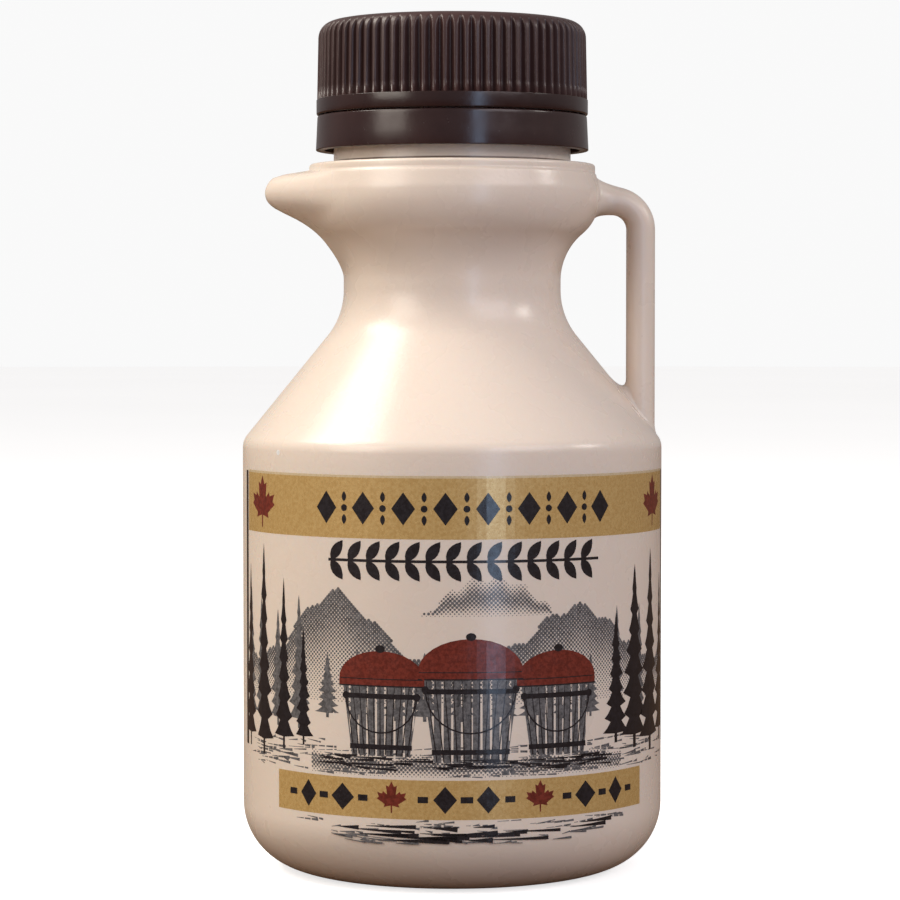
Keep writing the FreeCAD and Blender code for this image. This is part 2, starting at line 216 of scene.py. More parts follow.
# The pouring lip's tip: its levels, and how far from the axis it reaches at each.
LIP_LINE = (
    (88.8, 16.3), (90.0, 16.6), (91.0, 17.0), (92.2, 17.65), (93.6, 18.6), (95.2, 19.9),
    (96.6, 21.5), (97.8, 23.4), (98.8, 25.4), (99.6, 26.9), (100.4, 27.8), (101.4, 28.25),
    (102.3, 28.25), (103.1, 27.95), (103.9, 27.3), (104.4, 26.5), (104.69, 25.1))
LIP_FOOT = LIP_LINE[0][0]
LIP_TIP_R, LIP_TIP_MOST = 3.0, 0.4
RIM_BLEND = (0.08, 0.3, 0.65)


def jug_radius(level):
    """Distance of the outside from the axis at a level, away from the lip."""
    return float(np.interp(level, SIDE_LEVELS, SIDE_RADII))


def jug_level(radius):
    """Level of the shoulder at a distance from the axis."""
    return float(np.interp(-radius, -SHOULDER_RADII, SHOULDER_LEVELS))


def nose_radius(angle, rim, reach):
    """Distance from the axis to the outline round a circle and the lip's round tip, at an
    angle from the tip. The tip's radius is at most a share of its reach."""
    tip_r = min(LIP_TIP_R, reach * LIP_TIP_MOST)
    centre = reach - tip_r
    if reach <= rim or centre <= 0 or rim - tip_r >= centre:
        return max(rim, 0)
    lean = math.acos((rim - tip_r) / centre)
    touch = math.atan2(tip_r * math.sin(lean), centre + tip_r * math.cos(lean))
    if angle >= lean:
        return rim
    if angle >= touch:
        return rim / math.cos(lean - angle)
    return centre * math.cos(angle) + math.sqrt(tip_r**2 - (centre * math.sin(angle))**2)


def blended_rings(first, second):
    """Rings between the lip's last ring and the round flange, to close the lip's top."""
    first, second = np.array(first), np.array(second)
    return [first + (second - first) * share for share in RIM_BLEND]


def jug_rings():
    """Rings of the jug from base to neck, drawn out to the lip on the -X side. Straight
    runs are thinned, except at the levels of the lip."""
    rings = []
    kept = set(thinned(PROFILE))
    for radius, level in PROFILE:
        off_lip = level < LIP_FOOT or level > FLANGE_TOP
        if radius == 0 or off_lip and (radius, level) not in kept:
            continue
        reach = smooth_curve(LIP_LINE, level) if LIP_FOOT < level < RIM_TOP else 0
        ring = ring_of([nose_radius(abs(math.pi - turn_of(column, COLUMNS)), radius, reach)
                        for column in range(COLUMNS)], level)
        if level == RIM_TOP and rings[-1][0][2] < RIM_TOP:
            rings += blended_rings(rings[-1], ring)
        rings.append(ring)
    return rings


# ---------------------------------------------------------------- handle

BAR_X, BAR_Z, BEND_R = 28.7, 100.8, 4.35
BEND_X, BEND_Z = BAR_X - BEND_R, BAR_Z - BEND_R
BAR_HALF_THICK, BAR_HALF_WIDE, BAR_SQUARENESS = 2.15, 3.2, 2.25
SECTION_POINTS, BEND_STEPS, BAR_STEPS = 56, 16, 24
BLEND_SHARES = (0.0, 0.15, 0.3, 0.45, 0.6, 0.75, 0.9)

# Hidden ends of the bar inside the jug, and how much smaller its section is there.
TOP_END_X, TOP_END_SIZE = 18.5, 0.8
FOOT_END_X, FOOT_END_Z, FOOT_END_SIZE = BAR_X - 3, 62.0, 0.5

# Blends into the jug. They spread over its skin, end in two rings just under it, and keep
# clear of the rim's top and the body's side by a margin. The bend starts later on its
# outside. The foot's blend is larger on its outer side, and on its inner side it grows
# into a web.
UNDER_SKIN, UNDER_SKIN_END = 0.03, 0.06
BEND_START, BEND_START_OUTER = 2, 12
RIM_SPREAD, RIM_SPREAD_END = 0.9, 1.2
RIM_MARGIN, RIM_MARGIN_MEET = 0.1, 0.4
FOOT_RISE, FOOT_RISE_OUTER, FOOT_RISE_WEB = 0.5, 0.9, 2.6
FOOT_SPREAD, FOOT_SPREAD_OUTER, FOOT_SPREAD_WEB, FOOT_SPREAD_END = 0.5, 0.5, 3.4, 0.3
BODY_MARGIN = 0.04


def signed_power(value, power):
    return math.copysign(abs(value)**power, value)


def bar_section():
    """Points (out, side) of the bar's rounded section, each with its outward normal."""
    points = []
    for k in range(SECTION_POINTS):
        turn = turn_of(k, SECTION_POINTS)
        out = BAR_HALF_THICK * signed_power(math.cos(turn), 2 / BAR_SQUARENESS)
        side = BAR_HALF_WIDE * signed_power(math.sin(turn), 2 / BAR_SQUARENESS)
        normal = Vector((
            signed_power(out / BAR_HALF_THICK, BAR_SQUARENESS - 1) / BAR_HALF_THICK,
            signed_power(side / BAR_HALF_WIDE, BAR_SQUARENESS - 1) / BAR_HALF_WIDE))
        points.append((out, side, normal.normalized()))
    return points


def bezier(start, control, end, share):
    one = 1 - share
    return start * one * one + control * 2 * one * share + end * share * share


def on_bend(out, side, turn):
    reach = BEND_R + out
    return Vector((BEND_X + reach * math.sin(turn), side, BEND_Z + reach * math.cos(turn)))


def top_column(out, side, normal):
    """One column of the handle from inside the rim over the blend and round the bend."""
    outer = max(0.0, out / BAR_HALF_THICK)
    start_turn = math.radians(BEND_START + BEND_START_OUTER * outer)
    top = on_bend(out, side, start_turn)
    rim = jug_radius(top.z)
    meet_x = math.sqrt(rim * rim - side * side)
    rise = (top.x - meet_x) * math.tan(start_turn)
    meet = Vector((meet_x, side, min(top.z + rise, RIM_TOP - RIM_MARGIN_MEET)))

    def on_rim(spread, depth):
        aside = side + spread * normal.y
        level = min(meet.z + spread * normal.x, RIM_TOP - RIM_MARGIN)
        radius = jug_radius(level) - depth
        return Vector((math.sqrt(radius * radius - aside * aside), aside, level))

    points = [Vector((TOP_END_X, side * TOP_END_SIZE, BAR_Z + out * TOP_END_SIZE)),
              on_rim(RIM_SPREAD_END, UNDER_SKIN_END)]
    points += [bezier(on_rim(RIM_SPREAD, UNDER_SKIN), meet, top, share)
               for share in BLEND_SHARES]
    turns = [start_turn + (math.pi / 2 - start_turn) * k / BEND_STEPS
             for k in range(BEND_STEPS + 1)]
    return points + [on_bend(out, side, turn) for turn in turns]


def foot_column(bend_end, out, side, normal):
    """The same column from the bend's end down the bar to inside the shoulder."""
    outer = max(0.0, out / BAR_HALF_THICK)
    web = max(0.0, -out / BAR_HALF_THICK)**3
    x = BAR_X + out
    foot_level = jug_level(math.hypot(x, side))
    rise = FOOT_RISE + FOOT_RISE_OUTER * outer + FOOT_RISE_WEB * web
    end = Vector((x, side, foot_level + rise))

    def on_shoulder(spread, depth):
        foot = Vector((x + normal.x * spread, side + normal.y * spread))
        distance = min(foot.length, BODY_R - BODY_MARGIN)
        foot = foot.normalized() * distance
        return Vector((foot.x, foot.y, jug_level(distance) - depth))

    spread = FOOT_SPREAD + FOOT_SPREAD_OUTER * outer + FOOT_SPREAD_WEB * web
    landing = on_shoulder(spread, UNDER_SKIN)
    meet = Vector((x, side, foot_level))
    points = [bend_end.lerp(end, k / BAR_STEPS) for k in range(1, BAR_STEPS + 1)]
    points += [bezier(end, meet, landing, 1 - share) for share in reversed(BLEND_SHARES)]
    points.append(on_shoulder(spread + FOOT_SPREAD_END, UNDER_SKIN_END))
    points.append(Vector((FOOT_END_X + out * FOOT_END_SIZE, side * FOOT_END_SIZE, FOOT_END_Z)))
    return points


def handle_rings():
    """Rings along the bar, from inside the rim to inside the shoulder."""
    columns = []
    for out, side, normal in bar_section():
        points = top_column(out, side, normal)
        columns.append(points + foot_column(points[-1], out, side, normal))
    return [list(ring) for ring in zip(*columns)]


# ---------------------------------------------------------------- cap and tamper ring

CAP_TOP, COLLAR_TOP, CAP_FOOT = 127.65, 115.9, 113.6
COLLAR_R, RIB_FOOT_R, RIB_TOP_R, CAP_BORE_R = 20.5, 20.4, 20.15, 18.3
RIBS, RIB_COLUMNS = 80, 14
# Inside this radius the cap's top, and its ceiling over the neck, are one fan each.
CAP_EYE_R = 4
# Levels and radii of the ribbed part are compared with this much to spare.
TINY = 0.001

# A groove's bottom: its distance from the axis, half its width, and how steeply its flanks
# rise from there.
GROOVE_R, GROOVE_HALF, GROOVE_FLANK = 19.4, 0.15, 0.75 / 0.35
GROOVE_SOFTNESS = 0.09

BAND_BORE_R, BAND_FOOT_R, BAND_TOP_R = 19.3, 20.6, 20.35
BAND_FOOT, BAND_MIDDLE, BAND_TOP = 108.25, 110.8, 113.47
BAND_COLUMNS = 256
BRIDGES, BRIDGE_FOOT, BRIDGE_HALF = 12, 113.3, 0.4
BRIDGE_IN_R, BRIDGE_OUT_R = 19.5, 20.1


def groove_radius(column):
    """Distance from the axis to a groove's bottom or flank in one column."""
    across = (column / RIB_COLUMNS + 0.5) % 1 - 0.5
    pitch = 2 * math.pi * RIB_TOP_R / RIBS
    return GROOVE_R + GROOVE_FLANK * max(0.0, abs(across) * pitch - GROOVE_HALF)


def soft_min(first, second, width):
    share = max(width - abs(first - second), 0) / width
    return min(first, second) - share * share * width / 4


def cap_rings():
    """Rings of the cap, from the middle of its top down the outside and up the bore."""
    outline = rounded_profile((
        (CAP_EYE_R, CAP_TOP),
        (RIB_TOP_R, CAP_TOP, 2.5),
        (RIB_FOOT_R, COLLAR_TOP),
        (COLLAR_R, COLLAR_TOP, 0.095),
        (COLLAR_R, CAP_FOOT, 0.25),
        (CAP_BORE_R, CAP_FOOT),
        (CAP_BORE_R, NECK_TOP),
        (CAP_EYE_R, NECK_TOP),
    ), 0.35)
    grooves = [groove_radius(column) for column in range(RIBS * RIB_COLUMNS)]
    rings = []
    for radius, level in thinned(outline):
        ribbed = COLLAR_TOP - TINY < level < CAP_TOP and radius < RIB_FOOT_R + TINY
        rings.append(ring_of([soft_min(radius, groove, GROOVE_SOFTNESS) if ribbed else radius
                              for groove in grooves], level))
    return rings


def band_rings():
    """Rings of the tamper ring's closed section, starting half way up its bore."""
    outline = rounded_profile((
        (BAND_BORE_R, BAND_MIDDLE),
        (BAND_BORE_R, BAND_FOOT, 0.1),
        (BAND_FOOT_R, BAND_FOOT, 0.16),
        (BAND_TOP_R, BAND_TOP, 0.28),
        (BAND_BORE_R, BAND_TOP, 0.1),
        (BAND_BORE_R, BAND_MIDDLE),
    ), 0.12)
    return [ring_of([radius] * BAND_COLUMNS, level) for radius, level in thinned(outline)]


def bridge_blocks():
    """Small blocks that join the tamper ring to the cap."""
    corners = ((BRIDGE_IN_R, -BRIDGE_HALF), (BRIDGE_OUT_R, -BRIDGE_HALF),
               (BRIDGE_OUT_R, BRIDGE_HALF), (BRIDGE_IN_R, BRIDGE_HALF))
    vertices, faces = [], []
    for number in range(BRIDGES):
        turn = turn_of(number + 0.5, BRIDGES)
        cosine, sine = math.cos(turn), math.sin(turn)
        vertices += [(radius * cosine - side * sine, radius * sine + side * cosine, level)
                     for level in (BRIDGE_FOOT, CAP_FOOT) for radius, side in corners]
        first = number * 8
        faces += [tuple(first + i for i in (3, 2, 1, 0)), tuple(first + i for i in (4, 5, 6, 7))]
        faces += [(first + i, first + (i + 1) % 4, first + 4 + (i + 1) % 4, first + 4 + i)
                  for i in range(4)]
    return vertices, faces


# ---------------------------------------------------------------- ink on the body

# Flat ink is cut into strips this wide, and its plates reach this far into the jug.
CUT_EVERY = 1.4
INK_SUNK = 0.02


def flat_ink(shapes):
    """Flat shapes (along, level) as triangles that face up, cut into narrow strips so
    that they bend well round the body."""
    flat = bmesh.new()
    for shape in shapes:
        flat.faces.new([flat.verts.new((along, level, 0)) for along, level in shape])
    flat.normal_update()  # the triangles below come out wrong without normals
    bmesh.ops.triangulate(flat, faces=flat.faces[:], ngon_method="EAR_CLIP")
    reach = max(abs(vertex.co.x) for vertex in flat.verts)
    cuts = int(reach / CUT_EVERY) + 1
    for k in range(-cuts, cuts + 1):
        bmesh.ops.bisect_plane(
            flat, geom=flat.verts[:] + flat.edges[:] + flat.faces[:],
            plane_co=(k * CUT_EVERY, 0, 0), plane_no=(1, 0, 0))
    flat.normal_update()
    for face in flat.faces:
        if face.normal.z < 0:
            face.normal_flip()
    flat.verts.index_update()
    return flat


def bent_plate(flat, height):
    """Vertices and faces of flat ink laid round the body as a thin closed plate."""
    points = [(vertex.co.x / BODY_R, vertex.co.y) for vertex in flat.verts]
    vertices = []
    for radius in (BODY_R + height, BODY_R - INK_SUNK):
        vertices += [(radius * math.sin(turn), -radius * math.cos(turn), level)
                     for turn, level in points]
    count = len(points)
    faces = []
    for face in flat.faces:
        corners = [vertex.index for vertex in face.verts]
        faces.append(tuple(corners))
        faces.append(tuple(count + i for i in reversed(corners)))
    for edge in flat.edges:
        if len(edge.link_faces) == 1:
            corners = [vertex.index for vertex in edge.link_faces[0].verts]
            first, second = (vertex.index for vertex in edge.verts)
            if corners[(corners.index(first) + 1) % len(corners)] != second:
                first, second = second, first
            faces.append((second, first, count + first, count + second))
    return vertices, faces


def print_ink(name, shapes, height, material):
    """Piece for all the flat shapes (along, level) of one colour. along is the distance
    round the body from the front."""
    flat = flat_ink(shapes)
    mesh = raw_mesh(name, *bent_plate(flat, height))
    flat.free()
    mesh.update()
    piece = bpy.data.objects.new(name, mesh)
    bpy.context.scene.collection.objects.link(piece)
    mesh.materials.append(material)
    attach(piece, "root")


# ---------------------------------------------------------------- flat shapes

# Right half of a lobed leaf of size 1, from its tip to its stalk.
LEAF_HALF = (
    (0.0, 1.0), (0.13, 0.74), (0.27, 0.8), (0.22, 0.36), (0.42, 0.52), (0.46, 0.4),
    (0.72, 0.46), (0.63, 0.25), (0.74, 0.16), (0.34, -0.1), (0.39, -0.24), (0.04, -0.16),
    (0.03, -0.52))
LEAF_MIDDLE = 0.2
BLADE_STEPS = 6
FIR_TIERS = 8
DOT_PITCH, DOT_SIDES, HIGHEST_DOT = 0.62, 6, 52
STROKE_TIP, STROKE_LIFT, STROKE_FOOT = 0.03, 0.3, 8


def oblong(left, right, low, high):
    return [(left, low), (right, low), (right, high), (left, high)]


def dot(along, level, radius, sides=12, tall=1.0):
    return [(along + radius * math.cos(turn_of(k, sides)),
             level + radius * tall * math.sin(turn_of(k, sides))) for k in range(sides)]


def lozenge(along, level, half_wide, half_tall):
    return [(along - half_wide, level), (along, level - half_tall),
            (along + half_wide, level), (along, level + half_tall)]


def tapered_stroke(first, second, first_half, second_half):
    """Straight stroke between two points, each end with its own half width."""
    a, b = Vector(first), Vector(second)
    across = (b - a).normalized().orthogonal()
    return [tuple(a + across * first_half), tuple(a - across * first_half),
            tuple(b - across * second_half), tuple(b + across * second_half)]


def leaf_blade(along, level, length, half_wide, turn):
    """Pointed oval leaf from its stalk end, at a turn in degrees from upright."""
    angle = math.radians(turn)
    points = []
    for k in range(BLADE_STEPS + 1):
        share = k / BLADE_STEPS
        bulge = math.sin(math.pi * share)**0.8 * (1 - 0.25 * share)
        points.append((half_wide * bulge, share * length))
    mirrored = [(-wide, up) for wide, up in reversed(points[1:-1])]
    return [(along + wide * math.cos(angle) + up * math.sin(angle),
             level - wide * math.sin(angle) + up * math.cos(angle))
            for wide, up in points + mirrored]


def lobed_leaf(along, level, size):
    """Plain five-lobed leaf with a stalk, its middle at (along, level)."""
    right = [(along + x * size, level + (y - LEAF_MIDDLE) * size) for x, y in LEAF_HALF]
    left = [(along - x * size, level + (y - LEAF_MIDDLE) * size)
            for x, y in reversed(LEAF_HALF[1:])]
    return right + left


def fir(along, foot, height, half_wide, chance):
    """Fir tree as one outline with drooping, uneven tiers. The numbers are shares of its
    height, its half width and the step from tier to tier."""
    step = 0.9 * height / FIR_TIERS

    def side():
        points = [(0.1 * half_wide, foot), (0.1 * half_wide, foot + 0.07 * height)]
        for k in range(FIR_TIERS):
            low = foot + 0.08 * height + k * step
            wide = half_wide * (1 - k / FIR_TIERS)**0.85 * chance.uniform(0.82, 1.1)
            points += [(wide, low), (wide * 0.7, low + 0.3 * step),
                       (wide * 0.42, low + 0.75 * step)]
        return points

    right, left = side(), side()
    return ([(along + x, z) for x, z in right] + [(along, foot + height)]
            + [(along - x, z) for x, z in reversed(left)])


def halftone(left, right, floor, ridge, size):
    """Rows of dots between a floor level and a ridge line. ridge gives the ridge's level
    from the place along, and size a dot's radius from the share of the way up."""
    shapes = []
    row = 0
    level = floor
    while level < HIGHEST_DOT:
        along = left + (row % 2) * DOT_PITCH / 2
        while along < right:
            top = ridge(along)
            if level < top:
                share = (level - floor) / (top - floor)
                shapes.append(dot(along, level, size(share), DOT_SIDES))
            along += DOT_PITCH
        level += DOT_PITCH / 2
        row += 1
    return shapes


def arch(along, level, half_wide, height, count=16):
    """Half oval standing on a level, or hanging from it where the height is negative."""
    return [(along + half_wide * math.cos(math.pi * k / count),
             level + height * math.sin(math.pi * k / count)) for k in range(count + 1)]


def bail(along, level, half_wide, drop, width, count=14):
    """Wire bail hanging in front of a pail from ear to ear."""
    outer = arch(along, level, half_wide, -drop, count)
    inner = arch(along, level, half_wide - width, width - drop, count)
    return outer + inner[::-1]


def strokes(chance, count, levels, reach, widths, halves):
    """Short level strokes of shadow, scattered between two levels. reach is how far they
    lie from the middle at the level STROKE_FOOT, and how much further for each mm up."""
    shapes = []
    for _ in range(count):
        level = chance.uniform(*levels)
        side = reach[0] + (level - STROKE_FOOT) * reach[1]
        along = chance.uniform(-side, side)
        half = chance.uniform(*halves)
        lift = chance.uniform(-STROKE_LIFT, STROKE_LIFT)
        shapes.append(tapered_stroke((along - half, level), (along + half, level + lift),
                                     STROKE_TIP, chance.uniform(*widths)))
    return shapes


# ---------------------------------------------------------------- printed panel

# Places are distances round the body from the front; this is the distance of one degree.
DEGREE = BODY_R * math.pi / 180
UPPER_SIDE, UPPER_LOW, UPPER_HIGH, UPPER_EDGE = 76.4 * DEGREE, 51.5, 60.2, 60.55
LOWER_SIDE, LOWER_LOW, LOWER_HIGH = 56.9 * DEGREE, 11.45, 17.1
UPPER_LEVEL, LOWER_LEVEL, DASH_LOW, DASH_HIGH = 55.85, 14.3, 13.85, 14.75
DIAMONDS, DIAMOND_PITCH = 8, 6.1
END_LEAF = 65.5 * DEGREE
END_LINE_IN, END_LINE_OUT = 77.0 * DEGREE, 79.2 * DEGREE
END_LINE_LOW, END_LINE_HIGH = 19.5, 60.4
GARLAND_SIDE, GARLAND_LEVEL, STALK_HALF = 21.0, 48.35, 0.2
LEAF_PAIRS, LEAF_START, LEAF_PITCH = 14, -20.6, 2.95
# Painted glint: place, level, radius and sides of a small white dot on the upper left body,
# standing in for a bright reflection spot.
PAINTED_GLINT_DOT = (-57 * DEGREE, 63.4, 0.4, 16)

# Far firs stand in a row, and are small where the pails are in front of them.
FAR_FIRS, FAR_START, FAR_PITCH, FAR_SHIFT = 17, -41.5, 5.15, 0.9
PAILS_SIDE, BEHIND_PAILS, BESIDE_PAILS = 23, (25.5, (9, 12)), (23.5, (17, 21))

# Place along, foot, height and half width of each near fir.
NEAR_FIRS = (
    (-41.2, 19.6, 27, 2.5), (-35.8, 18.9, 31, 2.8), (-30.2, 20.2, 25, 2.2),
    (-25.8, 21.2, 17, 1.8), (24.9, 21.2, 19, 3.0), (29.8, 20.0, 27, 3.9),
    (35.4, 19.0, 30, 4.3), (41.0, 20.0, 25, 3.6))
# Place along, foot and size of each pail.
PAILS = ((-12.6, 20.4, 0.94), (0.6, 19.6, 1.12), (13.8, 20.4, 0.94))
LID_EDGE, LID_DOME = 0.9, 4.3

# Colour, count, levels, reach, half widths and half lengths of the strokes of shadow.
STROKES = (
    ("grey", 170, (17.6, 22.4), (41, 0), (0.08, 0.24), (0.5, 2.8)),
    ("black", 70, (18.6, 20.2), (22, 0), (0.08, 0.26), (0.6, 3.0)),
    ("grey", 90, (8.0, 11.2), (16, 4), (0.06, 0.2), (0.4, 2.2)),
    ("black", 24, (8.4, 10.4), (4, 9), (0.2, 0.42), (1.5, 5.0)))


def gold_bands(ink):
    """Both gold bands, and a leaf and an upright dark line at the upper one's ends."""
    ink["gold"].append(oblong(-UPPER_SIDE, UPPER_SIDE, UPPER_LOW, UPPER_HIGH))
    ink["rim"].append(oblong(-UPPER_SIDE, UPPER_SIDE, UPPER_HIGH, UPPER_EDGE))
    ink["gold"].append(oblong(-LOWER_SIDE, LOWER_SIDE, LOWER_LOW, LOWER_HIGH))
    for side in (-1, 1):
        ink["red"].append(lobed_leaf(side * END_LEAF, 55.9, 5.0))
        line = sorted((side * END_LINE_IN, side * END_LINE_OUT))
        ink["black"].append(oblong(*line, END_LINE_LOW, END_LINE_HIGH))


def diamond_row(ink):
    """Diamonds along the upper band, with a dot between two small leaves after each."""
    for k in range(DIAMONDS):
        along = (k - (DIAMONDS - 1) / 2) * DIAMOND_PITCH
        ink["black"].append(lozenge(along, UPPER_LEVEL, 1.75, 2.35))
        ink["gold"].append(lozenge(along, UPPER_LEVEL, 0.5, 0.7))
        if k < DIAMONDS - 1:
            between = along + DIAMOND_PITCH / 2
            ink["black"].append(dot(between, UPPER_LEVEL, 0.5))
            for up in (-1, 1):
                ink["black"].append(
                    leaf_blade(between, UPPER_LEVEL + up * 0.9, 1.5 * up, 0.42, 0))


def garland(ink):
    """Straight stalk with pairs of leaves."""
    ink["black"].append(oblong(-GARLAND_SIDE, GARLAND_SIDE,
                               GARLAND_LEVEL - STALK_HALF, GARLAND_LEVEL + STALK_HALF))
    for k in range(LEAF_PAIRS):
        along = LEAF_START + k * LEAF_PITCH
        for turn in (36, 144):
            ink["black"].append(leaf_blade(along, GARLAND_LEVEL, 3.5, 0.95, turn))


def lower_row(ink):
    """Diamonds, dashes and leaves along the lower band, the same on both sides."""
    for side in (-1, 1):
        for along, half in ((3.1, 1.7), (18.6, 1.9), (24.8, 1.5)):
            ink["black"].append(lozenge(side * along, LOWER_LEVEL, half, 1.95))
        for along in (6.3, 15.3, 21.9, 27.9):
            middle = side * along
            ink["black"].append(oblong(middle - 0.75, middle + 0.75, DASH_LOW, DASH_HIGH))
        ink["red"].append(lobed_leaf(side * 10.9, 14.45, 3.0))
    ink["black"].append(oblong(-0.9, 0.9, DASH_LOW, DASH_HIGH))


def woods(ink, chance):
    """Far firs in grey, and near firs in black at the sides."""
    for k in range(FAR_FIRS):
        along = FAR_START + k * FAR_PITCH + chance.uniform(-FAR_SHIFT, FAR_SHIFT)
        foot, heights = BEHIND_PAILS if abs(along) < PAILS_SIDE else BESIDE_PAILS
        height = chance.uniform(*heights)
        ink["grey"].append(fir(along, foot, height, chance.uniform(1.9, 2.6), chance))
    for along, foot, height, half in NEAR_FIRS:
        ink["black"].append(fir(along, foot, height, half, chance))


def pail(along, foot, size, ink):
    """Wooden pail: staves, two hoops, a wire bail and a domed lid with a knob. Only its
    large measures grow with its size; lines and edges are as thick on each."""
    low_half, high_half, height = 4.7 * size, 6.2 * size, 10.6 * size
    top = foot + height
    ink["grey"].append([(along - low_half, foot), (along + low_half, foot),
                        (along + high_half, top), (along - high_half, top)])
    for k in range(-5, 6):
        share = k / 5.4
        ink["black"].append(tapered_stroke(
            (along + share * low_half, foot + 0.2), (along + share * high_half, top - 0.1),
            0.09, 0.05))
    for share in (0.13, 0.86):
        level = foot + height * share
        half = low_half + (high_half - low_half) * share + 0.12
        ink["black"].append(oblong(along - half, along + half, level - 0.36, level + 0.36))
    ink["black"].append(bail(along, top - 1.5, high_half - 0.3, 5.6 * size, 0.22))
    for side in (-1, 1):
        ink["black"].append(dot(along + side * (high_half - 0.4), top - 1.4, 0.55, 10))
    lid, half, dome = top + 0.15, high_half + 0.7, LID_DOME * size
    left, right = along - half, along + half
    ink["red"].append(arch(along, lid + LID_EDGE, half, dome))
    ink["red"].append(oblong(left, right, lid, lid + LID_EDGE))
    ink["black"].append(oblong(left, right, lid - 0.2, lid))
    ink["black"].append(oblong(left + 0.2, right - 0.2, lid + 0.85, lid + 0.98))
    ink["black"].append(dot(along, lid + LID_EDGE + dome + 0.3, 0.75, 14, 0.75))


def hill(base, height, middle, width, ripple, waves, shift=0.0):
    """Ridge line of a rounded hill with small waves."""
    return lambda along: (base + height * math.exp(-((along - middle) / width)**2)
                          + ripple * math.sin(along * waves + shift))


def dotted_land(ink):
    """Two hills, a cloud and the ground's shadow in halftone dots."""
    def cloud_ridge(along):
        bulge = max(0, 1 - ((along - 3.5) / 9.6)**2)
        return 40.6 + 5.4 * bulge + 0.5 * math.sin(along * 1.7)

    def ground_ridge(along):
        return 20.4 + 0.5 * math.sin(along * 0.7)

    def hill_dot(share):
        return 0.1 + 0.19 * share

    def cloud_dot(share):
        return 0.08 + 0.16 * math.sin(math.pi * share)

    ink["grey"] += halftone(-41, -2, 28.0, hill(33, 10.5, -20, 9, 0.7, 0.9), hill_dot)
    ink["grey"] += halftone(-2, 41, 28.0, hill(33, 8.5, 17, 10, 0.6, 1.1, 1), hill_dot)
    ink["grey"] += halftone(-6.4, 13.4, 40.6, cloud_ridge, cloud_dot)
    ink["grey"] += halftone(-24, 26, 17.6, ground_ridge, cloud_dot)


def front_panel():
    """Flat shapes of the front print, by colour, and a white dot that is a painted glint."""
    ink = {colour: [] for colour in ("gold", "rim", "grey", "red", "black", "white")}
    gold_bands(ink)
    diamond_row(ink)
    garland(ink)
    lower_row(ink)
    chance = random.Random(SEED)
    woods(ink, chance)
    for along, foot, size in PAILS:
        pail(along, foot, size, ink)
    dotted_land(ink)
    for colour, *rest in STROKES:
        ink[colour] += strokes(chance, *rest)
    # Painted glint: a white dot laid on the body like ink, standing in for a bright reflection
    # spot.
    ink["white"].append(dot(*PAINTED_GLINT_DOT))
    return ink


# ---------------------------------------------------------------- materials

NOISE_LOW, NOISE_HIGH = 0.3, 0.7


def new_material(name):
    material = bpy.data.materials.new(name)
    material.use_nodes = True
    nodes, links = material.node_tree.nodes, material.node_tree.links
    shader = nodes.get("Principled BSDF")
    return material, nodes, links, shader


def noise(nodes, links, scale, detail=3.0, roughness=0.5):
    """Noise over the object's own coordinates; scale is in features per metre."""
    place = nodes.new("ShaderNodeTexCoord")
    texture = nodes.new("ShaderNodeTexNoise")
    texture.inputs["Scale"].default_value = scale
    texture.inputs["Detail"].default_value = detail
    texture.inputs["Roughness"].default_value = roughness
    links.new(place.outputs["Object"], texture.inputs["Vector"])
    return texture.outputs["Fac"]


def ramp(nodes, links, source, first, second, low=NOISE_LOW, high=NOISE_HIGH):
    """Colour that goes from the first at a low source to the second at a high one."""
    node = nodes.new("ShaderNodeValToRGB")
    for element, position, colour in zip(node.color_ramp.elements, (low, high), (first, second)):
        element.position = position
        element.color = (*colour, 1)
    links.new(source, node.inputs["Fac"])
    return node.outputs["Color"]


def bump(nodes, links, shader, height, strength, distance, below=None):
    """Bump on the shader, over the bump below it; distance is in metres."""
    node = nodes.new("ShaderNodeBump")
    node.inputs["Strength"].default_value = strength
    node.inputs["Distance"].default_value = distance
    links.new(height, node.inputs["Height"])
    if below is not None:
        links.new(below, node.inputs["Normal"])
    links.new(node.outputs["Normal"], shader.inputs["Normal"])
    return node.outputs["Normal"]


def noise_range(nodes, links, source, low, high):
    """Value that goes from low to high where a noise goes from low to high."""
    node = nodes.new("ShaderNodeMapRange")
    node.inputs["From Min"].default_value = NOISE_LOW
    node.inputs["From Max"].default_value = NOISE_HIGH
    node.inputs["To Min"].default_value = low
    node.inputs["To Max"].default_value = high
    links.new(source, node.inputs["Value"])
    return node.outputs["Result"]


def line_across(nodes, links, axis, level, inside, outside, most=1.0):
    """Share of a thin line in the plane where one axis is at a level: the most within
    the inside distance from it, and 0 past the outside distance."""
    place = nodes.new("ShaderNodeTexCoord")
    parts = nodes.new("ShaderNodeSeparateXYZ")
    links.new(place.outputs["Object"], parts.inputs["Vector"])
    apart = nodes.new("ShaderNodeMath")
    apart.operation = "SUBTRACT"
    links.new(parts.outputs[axis], apart.inputs[0])
    apart.inputs[1].default_value = level * MM
    size = nodes.new("ShaderNodeMath")
    size.operation = "ABSOLUTE"
    links.new(apart.outputs[0], size.inputs[0])
    line = nodes.new("ShaderNodeMapRange")
    line.interpolation_type = "SMOOTHSTEP"
    line.inputs["From Min"].default_value = inside * MM
    line.inputs["From Max"].default_value = outside * MM
    line.inputs["To Min"].default_value = most
    line.inputs["To Max"].default_value = 0.0
    links.new(size.outputs[0], line.inputs["Value"])
    return line.outputs["Result"]


def blended_colour(nodes, links, share, first, second):
    """Mix of a colour socket and a fixed colour. The mix node names its sockets alike for
    every type, so those of its colours are taken by number."""
    node = nodes.new("ShaderNodeMix")
    node.data_type = "RGBA"
    links.new(share, node.inputs[0])
    links.new(first, node.inputs[6])
    node.inputs[7].default_value = (*second, 1)
    return node.outputs[2]


